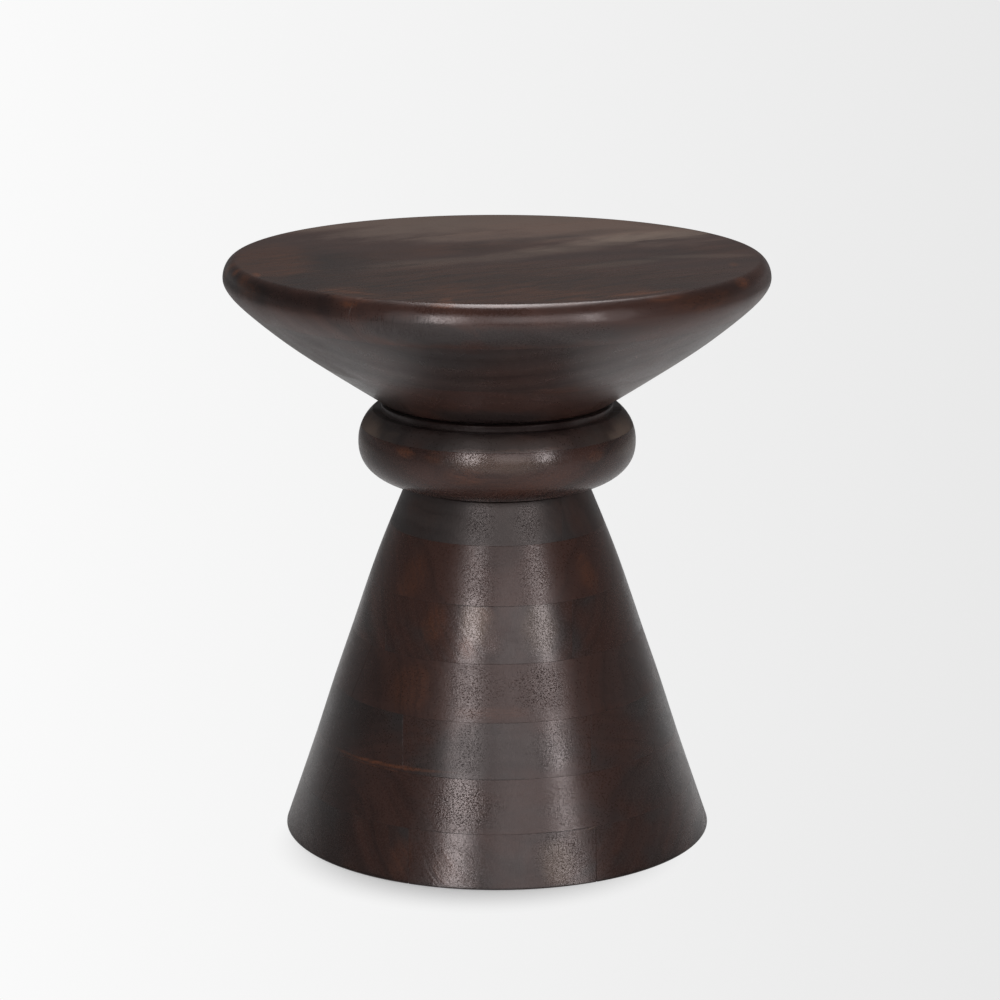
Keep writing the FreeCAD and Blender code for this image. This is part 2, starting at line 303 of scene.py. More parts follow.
def new_material(name):
    """A material, its nodes and the place on its surface in the object's own frame."""
    material = bpy.data.materials.new(name)
    n = Nodes(material)
    return material, n, n.node("TexCoord", take="Object")


# Surfaces


def spline(knots, values, start_slope, end_slope, at):
    """The smooth cubic curve through the knots with set slopes at its ends. The inner slopes follow
    from equal curvature on both sides of each knot."""
    steps = np.diff(knots)
    rises = np.diff(values) / steps
    count = len(knots)
    system = np.zeros((count, count))
    wanted = np.zeros(count)
    system[0, 0] = system[-1, -1] = 1
    wanted[0], wanted[-1] = start_slope, end_slope
    for row in range(1, count - 1):
        before, after = steps[row - 1], steps[row]
        system[row, row - 1:row + 2] = after, 2 * (before + after), before
        wanted[row] = 3 * (after * rises[row - 1] + before * rises[row])
    slopes = np.linalg.solve(system, wanted)
    span = np.clip(np.searchsorted(knots, at, side="right") - 1, 0, count - 2)
    share = (at - knots[span]) / steps[span]
    return (values[span] * (1 + 2 * share) * (1 - share) ** 2
            + values[span + 1] * share ** 2 * (3 - 2 * share)
            + slopes[span] * steps[span] * share * (1 - share) ** 2
            + slopes[span + 1] * steps[span] * share ** 2 * (share - 1))


def quarter_round(share, fullness):
    """How much of its reach a round keeps at a share of its rise: the ellipse whose powers of 2 are
    fullness instead."""
    return (1 - np.clip(share, 0, 1) ** fullness) ** (1 / fullness)


def cone_radius(z):
    """A straight taper and a crown that swells it."""
    s = bpy.context.scene.table_sizes
    share = (z - s.wood_z) / s.cone_height
    knots, crown = np.array(CONE_CROWN_SHARES).T
    swell = spline(knots, crown, crown[1] / knots[1], -crown[-2] / (1 - knots[-2]), share)
    return s.foot_radius + (s.neck_radius - s.foot_radius) * share + s.cone_crown * swell


def bead_radius(z):
    """Two quarter rounds that meet where the bead is widest."""
    s = bpy.context.scene.table_sizes
    middle = s.wood_z + s.cone_height + s.bead_low_height
    low = quarter_round((middle - z) / s.bead_low_height, BEAD_LOW_FULLNESS)
    high = quarter_round((z - middle) / s.bead_high_height, BEAD_HIGH_FULLNESS)
    return np.where(z < middle, s.bead_radius - s.bead_low_reach * (1 - low),
                    s.bead_radius - s.bead_high_reach * (1 - high))


def bowl_radius(z):
    """A crowned taper up to the rim, its lower round, and a quarter round over to the flat face."""
    s = bpy.context.scene.table_sizes
    bottom = unit_levels("bowl")[0]
    side_radius = s.rim_radius - s.rim_low_reach
    knots, crown = np.array(BOWL_CROWN_SHARES).T
    knots_z = bottom + knots * s.bowl_side_height
    radii = s.bowl_foot_radius + (side_radius - s.bowl_foot_radius) * knots + s.bowl_crown * crown
    low_share, reach_share = np.array(RIM_LOW_SHARES).T
    knots_z = np.append(knots_z, knots_z[-1] + low_share * s.rim_low_height)
    radii = np.append(radii, side_radius + reach_share * s.rim_low_reach)
    start_slope = (radii[1] - radii[0]) / (knots_z[1] - knots_z[0])
    side = spline(knots_z, radii, start_slope, 0.0, np.minimum(z, knots_z[-1]))
    crest = quarter_round((z - knots_z[-1]) / s.rim_high_height, RIM_FULLNESS)
    return np.where(z < knots_z[-1], side, s.rim_radius - s.rim_high_reach * (1 - crest))


def unit_levels(unit):
    """The heights of a unit's glue lines, with its lower and upper face."""
    s = bpy.context.scene.table_sizes
    cone_top = s.wood_z + s.cone_height
    bead_cut = BEAD_CUT_SHARE * s.bead_high_height
    collar_top = cone_top + s.bead_low_height + bead_cut + s.ring_height + s.gap_height
    bowl_top = collar_top + s.bowl_side_height + s.rim_low_height + s.rim_high_height
    ends = {"cone": (s.wood_z, cone_top), "collar": (cone_top, collar_top), "bowl": (collar_top, bowl_top)}
    bottom, top = ends[unit]
    shares = np.cumsum([0.0] + [layer[0] for layer in LAYERS[unit]])
    return bottom + (top - bottom) * np.minimum(shares, 1.0)


def eased_outline(radius_at, bottom, top, low_edge, high_edge, spacing=ROW_SPACING):
    """An outline from bottom to top, as rows of radius, height and the inset of its joints. Near an
    end it turns in by a quarter circle of that edge's radius. Close rows next to an edge keep its
    shading off the side."""
    def row(z, inset, seen_z):
        return radius_at(np.array([seen_z]))[0] - inset, z, inset

    def edge_rows(end, way, edge, angles):
        """The quarter circle at an end, from which the side leads away upwards (1) or downwards (-1)."""
        turns = zip(end + way * edge * (1 - np.cos(angles)), edge * (1 - np.sin(angles)))
        return [row(z, inset, min(max(z, bottom), top)) for z, inset in turns]

    start, end = bottom + low_edge + CLOSE, top - high_edge - CLOSE
    inner = np.linspace(start, end, max(2, math.ceil((end - start) / spacing) + 1))
    return np.array(
        [row(bottom, low_edge + INWARD, bottom + low_edge)]
        + edge_rows(bottom, 1, low_edge, EDGE_ANGLES)
        + [(radius, z, 0.0) for radius, z in zip(radius_at(inner), inner)]
        + edge_rows(top, -1, high_edge, EDGE_ANGLES[::-1])
        + [row(top, high_edge + INWARD, top - high_edge)])


def board_grid(outline, low, high, corner, points):
    """A board as a closed tube of loops, one for each row of the outline. In the board's own plan,
    u runs along the grain and v across it. A loop follows the circle of the row's radius while v is
    between the joints low and high, and goes straight along each joint. It leaves out a small
    corner where an arc meets a joint. A joint that isn't there is None, and the arc goes round."""
    radius, height, inset = outline.T
    start, end = np.full((2, len(radius)), math.pi / 2) * [[-1], [1]]

    def chord(place, way):
        half = way * (np.sqrt(radius ** 2 - place ** 2) - corner)
        return np.array([np.stack([half, -half], 1), np.stack([place, place], 1)])

    if low is not None:
        start = np.arcsin((low + inset + corner) / radius)
    if high is not None:
        end = np.arcsin((high - inset - corner) / radius)
    arc = start[:, None] + (end - start)[:, None] * np.linspace(0, 1, points)
    front = radius[:, None] * np.array([np.cos(arc), np.sin(arc)])
    back = (front * [[[-1]], [[1]]])[:, :, ::-1]
    parts = [front]
    if high is None:
        back = back[:, :, 1:]
    else:
        parts.append(chord(high - inset, 1))
    if low is None:
        parts.append(back[:, :, :-1])
    else:
        parts += [back, chord(low + inset, -1)]
    u, v = np.concatenate(parts, 2)
    return np.stack([u, v, np.broadcast_to(height[:, None], u.shape)], 2)


def turned_about_z(points, degrees):
    turn = math.radians(degrees)
    x, y, z = np.moveaxis(points, -1, 0)
    return np.stack([x * math.cos(turn) - y * math.sin(turn), x * math.sin(turn) + y * math.cos(turn), z], -1)


def capped_tube(name, loops, closed_below=True):
    """A mesh from loops of points stacked from bottom to top, closed by a flat face at each end, or at
    its upper end alone."""
    rows, count = loops.shape[:2]
    index = np.arange(rows * count).reshape(rows, count)
    across = np.roll(index, -1, 1)
    quads = np.stack([index[:-1], across[:-1], across[1:], index[1:]], -1).reshape(-1, 4)
    caps = [index[0, ::-1].tolist(), index[-1].tolist()]
    mesh = bpy.data.meshes.new(name)
    mesh.from_pydata(loops.reshape(-1, 3).tolist(), [], quads.tolist() + caps[0 if closed_below else 1:])
    mesh.validate()
    return mesh


def ring_loops(outline, x, y, points):
    """Loops of a round solid about an upright axis at x and y, from rows of radius and height."""
    angle = np.arange(points) * 2 * math.pi / points
    radius, height = np.array(outline).T
    return np.stack([
        x + radius[:, None] * np.cos(angle),
        y + radius[:, None] * np.sin(angle),
        np.broadcast_to(height[:, None], (len(radius), points)),
    ], 2)


def unit_bores():
    """The bores of the three units, as outlines of radius and height with the axis they stand on:
    the rod's, the pocket under the foot, the dowels', the insert's and the glides' with their nails."""
    foot, neck = unit_levels("cone")[[0, -1]]
    seat = unit_levels("bowl")[0]

    def hole(rows, level, x=0.0, y=0.0):
        return [(radius, level + rise) for radius, rise in rows], x, y

    low_dowels = [hole(DOWEL_BORE, neck, y=y) for y in (-LOW_DOWEL_Y, LOW_DOWEL_Y)]
    high_dowels = [hole(DOWEL_BORE, seat, y=y) for y in (-HIGH_DOWEL_Y, HIGH_DOWEL_Y)]
    glides = [
        hole(GLIDE_BORE, foot, GLIDE_RING_RADIUS * math.cos(corner), GLIDE_RING_RADIUS * math.sin(corner))
        for corner in np.radians([45, 135, 225, 315])]
    pocket = hole((*POCKET_BORE, (ROD_BORE_RADIUS, neck + BORE_OVERLAP - foot)), foot)
    rod = hole([(ROD_BORE_RADIUS, -BORE_OVERLAP), (ROD_BORE_RADIUS, seat + BORE_OVERLAP - neck)], neck)
    return {
        "cone": [pocket, *low_dowels, *glides],
        "collar": [rod, *low_dowels, *high_dowels],
        "bowl": [hole(INSERT_BORE, seat), *high_dowels],
    }


def bored(obj, bores, board):
    """Cuts the bores that meet this board out of its mesh."""
    turn = math.radians(board["run"])
    cutters = []
    for outline, x, y in bores:
        across = y * math.cos(turn) - x * math.sin(turn)
        radius = max(row[0] for row in outline)
        below = board["low"] is not None and across + radius < board["low"]
        beyond = board["high"] is not None and across - radius > board["high"]
        if below or beyond or outline[0][1] >= board["top"] or outline[-1][1] <= board["bottom"]:
            continue
        points = WIDE_BORE_POINTS if outline[0][0] > WIDE_BORE_RADIUS else BORE_POINTS
        cut = obj.modifiers.new("bore", "BOOLEAN")
        cut.operation = "DIFFERENCE"
        cut.solver = "EXACT"
        cut.object = linked("bore", capped_tube("bore", ring_loops(outline, x, y, points)))
        cutters.append(cut.object)
    if not cutters:
        return
    bpy.context.view_layer.update()
    mesh = bpy.data.meshes.new_from_object(obj.evaluated_get(bpy.context.evaluated_depsgraph_get()))
    obj.modifiers.clear()
    plain = obj.data
    obj.data = mesh
    mesh.name = plain.name
    bpy.data.meshes.remove(plain)
    for cutter in cutters:
        # The object goes with its mesh
        bpy.data.meshes.remove(cutter.data)


def board_words(run, count):
    """Words for a layer's boards in their order across the run."""
    middles = {2: [], 3: ["middle"], 4: ["middle_front", "middle_back"]}[count]
    first, last = ("front", "back") if run >= 0 else ("left", "right")
    return [first] + middles + [last]


def layer_outline(unit, number, bottom, top):
    """The outline of one layer of a unit."""
    s = bpy.context.scene.table_sizes
    seam = s.seam_edge
    if unit == "cone":
        low = s.foot_edge if number == 0 else seam
        high = s.neck_edge if number == len(LAYERS[unit]) - 1 else seam
        return eased_outline(cone_radius, bottom, top, low, high)
    if unit == "collar" and number == 0:
        return eased_outline(bead_radius, bottom, top, seam, seam, ROUND_SPACING)
    if unit == "collar":
        ledge = top - s.gap_height - s.ring_height
        # The bead's last rows are left out, because the ledge's edge is sharper
        bead = eased_outline(bead_radius, bottom, ledge, seam, seam, ROUND_SPACING)[:-3]
        ledge_radius = bead_radius(np.array([ledge]))[0]
        ring_top = ledge + s.ring_height
        ring = [(ledge_radius, ledge), (ledge_radius - 2 * CLOSE, ledge),
                (s.ring_radius + CLOSE, ledge), (s.ring_radius, ledge + CLOSE)]
        ring += zip(s.ring_radius - s.ring_edge * (1 - np.cos(EDGE_ANGLES)),
                    ring_top - s.ring_edge * (1 - np.sin(EDGE_ANGLES)))
        ring += [(s.gap_radius, ring_top), (s.gap_radius, top - CLOSE), (s.gap_radius, top),
                 (s.gap_radius - INWARD, top)]
        return np.vstack([bead, [(radius, z, 0.0) for radius, z in ring]])
    if number < len(LAYERS[unit]) - 1:
        low = s.bowl_foot_edge if number == 0 else seam
        return eased_outline(bowl_radius, bottom, top, low, seam)
    rim = top - s.rim_high_height
    # The side goes on into the crest, so the rows of its upper end are left out
    rows = eased_outline(bowl_radius, bottom, rim, seam, 0.0, ROUND_SPACING)[:-6]
    angle = np.radians(np.linspace(0, 90, CREST_ROWS))
    height = rim + s.rim_high_height * np.sin(angle) ** (2 / RIM_FULLNESS)
    reach = s.rim_high_reach * (1 - np.cos(angle).clip(0) ** (2 / RIM_FULLNESS))
    inset = (height - top + seam).clip(0, seam)
    crest = np.stack([s.rim_radius - reach, height, inset], 1)
    flat = (crest[-1][0] - INWARD, top, seam + INWARD)
    return np.vstack([rows, crest, [flat]])


def unit_boards(unit):
    """Every board of a unit, as its name and the facts that its mesh and finish are made from."""
    s = bpy.context.scene.table_sizes
    low_radius, high_radius = {
        "cone": (s.foot_radius, s.neck_radius),
        "collar": (s.bead_radius, s.bead_radius),
        "bowl": (s.rim_radius, s.rim_radius),
    }[unit]
    layers = LAYERS[unit]
    levels = unit_levels(unit)
    boards = []
    for number, (_, run, shares) in enumerate(layers):
        bottom, top = levels[number], levels[number + 1]
        along = (bottom - levels[0]) / (levels[-1] - levels[0])
        radius = low_radius + (high_radius - low_radius) * along
        joints = [None] + [share * radius for share in shares] + [None]
        for word, low, high in zip(board_words(run, len(joints) - 1), joints[:-1], joints[1:]):
            boards.append(dict(
                node=f"{unit}_{number + 1}_{word}", layer=f"{unit}_{number + 1}", number=number, run=run,
                radius=radius, low=low, high=high, bottom=bottom, top=top,
                glue_below=bottom if unit != "cone" or number > 0 else None,
                glue_above=top if unit != "bowl" or number < len(layers) - 1 else None))
    return boards


def turn_unit(unit):
    """Makes every board of a unit, bores it, finishes it and sets it in place of its CAD node."""
    corner = bpy.context.scene.table_sizes.seam_edge
    bores = unit_bores()[unit]
    for board in unit_boards(unit):
        if board["node"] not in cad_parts:
            raise RuntimeError(f"the frame has no board {board['node']}")
        outline = layer_outline(unit, board["number"], board["bottom"], board["top"])
        points = ARC_POINTS if None in (board["low"], board["high"]) else MIDDLE_ARC_POINTS
        loops = board_grid(outline, board["low"], board["high"], corner, points)
        name = board["node"] + "_board"
        obj = linked(name, capped_tube(name, turned_about_z(loops, board["run"])))
        bored(obj, bores, board)
        obj.data.shade_smooth()
        obj.data.set_sharp_from_angle(angle=SHARP_ANGLE)
        obj.data.materials.clear()
        obj.data.materials.append(stained_wood(board))
        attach(obj, BODY)
        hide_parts(board["node"])


# Finishes

MM = 0.001
# Tint of the light that the lacquer mirrors
SHEEN = (1.0, 0.89, 0.885, 1.0)
# Size of a brush stroke on the chart of the side
BRUSH_STROKE = (0.0011, 0.012, 1.0)
# The layer with the face, how far inside the widest radius the face's marks fade in, and how far down
FACE_LAYER = "bowl_3"
FACE_EDGE = (0.016, 0.005)
FACE_DEPTH = 0.012


def stained_wood(board):
    """Stained and lacquered wood. In the board's own frame u runs along the grain, v across it and
    w up. Growth rings are bands of the distance from a pith along u, bent by slow noise. Fibres are
    noise that is long along u. Pores are pits at the centres of scattered cells, and the lacquer's
    skin is fine even noise, so both show where a lamp is mirrored. Brush strokes are fine streaks on
    the chart of the side, and a flat dark coat in the groove under the bowl is painted shade. Listed
    marks say where each shows, and some of them paint shade, highlights and reflections into the stain."""
    c = bpy.context.scene.wood_colours
    look = board_look(board)
    material, n, place = new_material(board["node"] + "_wood")

    def grain(along, across, shift=0.0):
        """The place in the board's frame, in lumps this long and this thick."""
        return n.mapped(place, (along, across, across), look["seat"] + shift, board["run"])

    u, v, w = n.axes(n.mapped(place, turn=board["run"]))
    x, y, z = n.axes(place)

    slow = n.noise(grain(0.22, 0.07), 3.0) - 0.5
    quick = n.noise(grain(0.05, 0.018, 0.3), 2.0) - 0.5
    pith_v, pith_w, lean = look["pith"]
    out = v - u * lean - pith_v
    rise = w - pith_w
    ring = (out * out + rise * rise) ** 0.5 + slow * look["bend"] + quick * 0.004
    broad = n.bands(ring / look["band"], 3.0)
    fine = n.bands(ring / 0.0036 + 7.0, 2.0)
    fibre = n.noise(grain(0.030, 0.0012, 0.7), 3.0, 0.6)
    cloud = n.noise(grain(0.07, 0.035, 2.3), 4.0, 0.6)
    skin = n.noise(grain(0.0017, 0.0017, 1.7), 2.0, 0.7)
    cells = n.node("TexVoronoi", None, {
        "Vector": grain(look["pore_size"] * 1.3, look["pore_size"], 1.1), "Scale": 1.0})
    side = n.node("CombineXYZ", None, {0: x.math("ARCTAN2", x, 0 - y) * board["radius"], 1: z})
    marks = placed_marks(n, board, (x, y, z), side, (fibre - 0.5) * 0.4 + (cloud - 0.5) * 1.5)

    def marked(kind):
        return marks.get(kind, 0.0)

    pitted = n.smooth(cloud, 0.32, 0.58) * look["pores"] + marked("stipple")
    pore = (1 - n.smooth(cells, 0.16, 0.38)) * pitted

    start = 0.62 - look["warmth"]
    warmth = n.smooth(n.noise(grain(0.12, 0.040, 3.1), 3.0, 0.55), start, start + 0.40)
    depth = n.smooth(broad * look["figure"] + fine * 0.15 + fibre * 0.16, 0.12, 0.14 + look["figure"] * 0.85)
    worn = n.smooth(fibre + fine * 0.4, 0.40, 0.95)
    stain = n.colours(warmth, look["ashen"], look["russet"])
    for share, colour in (
            (marked("ashen"), look["ashen"]), (marked("russet"), look["russet"]),
            ((1 - depth) * 0.75, look["deep"]), (marked("pale"), look["pale"]),
            (marked("deep"), look["deep"]), (pore * 0.35, look["deep"]),
            (worn * marked("rubbed"), rgba(c.rubbed))):
        stain = n.colours(share, stain, colour)
    strokes = 0.0
    if "brushed" in marks:
        strokes = (n.lumps(side, BRUSH_STROKE) - 0.5) * marked("brushed")
        stain = n.colours(n.smooth(strokes, 0.02, 0.25), stain, look["deep"])

    seams = [axis - board[end] for axis, end in ((w, "glue_below"), (v, "low")) if board[end] is not None]
    seams += [board[end] - axis for axis, end in ((w, "glue_above"), (v, "high")) if board[end] is not None]
    near = seams[0]
    for seam in seams[1:]:
        near = near.math("MINIMUM", near, seam)
    wander = n.smooth(n.noise(grain(0.022, 0.022, 5.9), 2.0), 0.42, 0.70) * 0.35 + marked("line") * 0.7
    line = (1 - n.smooth(near, 0.0002, 0.0008)) * wander
    stain = n.colours(line, stain, rgba(c.glue))

    smear = n.noise(grain(0.030, 0.030, 4.1), 4.0, 0.6) - 0.5
    rough = pore * 0.45 + (skin - 0.5) * 0.25 + (fibre - 0.5) * 0.14 + smear * 0.16
    rough = rough + (look["rough"] - broad * 0.05) + marked("dull") * 0.20 - marked("gloss") * 0.09
    rough = rough + (fine - 0.5) * marked("swirl") * 0.14 + strokes * 0.5
    relief = (broad * 0.40 + fine * 0.10) * marked("swirl") + fine * look["relief"]
    relief = relief + skin * (marked("stipple") * 0.065 + look["skin"]) + fibre * 0.014
    relief = relief + smear * 0.10 - pore * 0.06 - line * 0.015
    wood = n.node("BsdfPrincipled", None, {
        "Base Color": stain, "Roughness": rough, "Normal": n.bump(relief, 0.001),
        "IOR": 1.5, "Specular Tint": SHEEN})
    # Painted shade: a flat dark coat mixed in over the groove between the ring and the bowl
    if "groove_shade" in marks:
        groove_shade = n.node("BsdfDiffuse", None, {"Color": rgba(c.deep)})
        wood = n.node("MixShader", None, {0: marks["groove_shade"] * (fibre * 0.3 + 0.7), 1: wood, 2: groove_shade})
    n.node("OutputMaterial", None, {"Surface": wood})
    return material


def placed_marks(n, board, place, side, ragged):
    """The strengths of the marks on a board's layer, by kind. A mark is a soft oval, on the chart of
    the side, which is unrolled by the angle round the table, or on the plan of the face."""
    x, y, z = place
    layer, radius = board["layer"], board["radius"]
    strengths = {}

    def add(kinds, chart, unit, share):
        for kind, marks in kinds.items():
            for across, up, length, height, strength, *turn in marks:
                seat = (across * unit, up * MM, 0.0)
                mark = oval(n, chart, seat, length, height, sum(turn), ragged) * share * strength
                strengths[kind] = strengths[kind] + mark if kind in strengths else mark

    on_face = 0.0
    if layer == FACE_LAYER:
        plan = n.node("CombineXYZ", None, {0: x, 1: y})
        inside = 1 - n.smooth(n.length(plan), radius - FACE_EDGE[0], radius - FACE_EDGE[1])
        on_face = inside * n.smooth(z, board["top"] - FACE_DEPTH, board["top"])
        add(FACE_MARKS, plan, MM, on_face)
    add(SIDE_MARKS[layer], side, math.radians(1) * radius, 1 - on_face)
    return strengths


def oval(n, chart, seat, length, height, turn, ragged):
    """1 inside an oval of half length and half height in mm, falling softly to 0 at its edge."""
    local = n.mapped(chart, (length * MM, height * MM, 1.0), seat, turn)
    return 1 - n.smooth(n.length(local) + ragged, 0.35, 1.1)


def mixed(first, second, share):
    """A colour between two, by a share."""
    return tuple(a + (b - a) * share for a, b in zip(first, second))


# What a board's look has unless its layer says otherwise: its growth rings and its pores
PLAIN_LOOK = {"band": 0.014, "bend": 0.030, "pores": 0.03, "pore_size": 0.0014, "relief": 0.010}

# Looks of the layers, one by one: the shares of russet stain, ring figure and uneven skin, the roughness,
# the tone of the stain, and what is unlike the plain look
LOOK_KEYS = ("warmth", "figure", "skin", "rough", "tone")
LOOKS = {
    "cone_7": (0.2, 0.4, 0.11, 0.42, 0.76, {}),
    "cone_6": (0.6, 0.6, 0.07, 0.33, 0.8, {}),
    "cone_5": (0.42, 0.7, 0.05, 0.29, 0.8, {"pith": (0.017, 0.226, 0.0), "band": 0.009, "bend": 0.01}),
    "cone_4": (0.62, 0.4, 0.07, 0.34, 0.76, {}),
    "cone_3": (0.35, 0.5, 0.05, 0.33, 0.72, {"pith": (0.0, -0.15, 0.0), "bend": 0.012}),
    "cone_2": (0.5, 0.4, 0.05, 0.31, 0.76, {"pore_size": 0.0012}),
    "cone_1": (0.4, 0.7, 0.07, 0.31, 0.74, {"pith": (0.03, 0.075, 0.0), "band": 0.011, "bend": 0.014}),
    "collar_2": (0.2, 0.4, 0.06, 0.35, 0.76, {}),
    "collar_1": (0.6, 0.5, 0.07, 0.3, 0.76, {"pores": 0.05}),
    "bowl_1": (0.5, 0.3, 0.05, 0.35, 0.82, {}),
    "bowl_2": (0.4, 0.35, 0.05, 0.35, 0.82, {}),
    "bowl_3": (0.75, 0.9, 0.05, 0.35, 0.92, {
        "pith": (0.35, 0.1, 0.0), "band": 0.022, "bend": 0.05, "relief": 0.014, "pores": 0.15}),
}

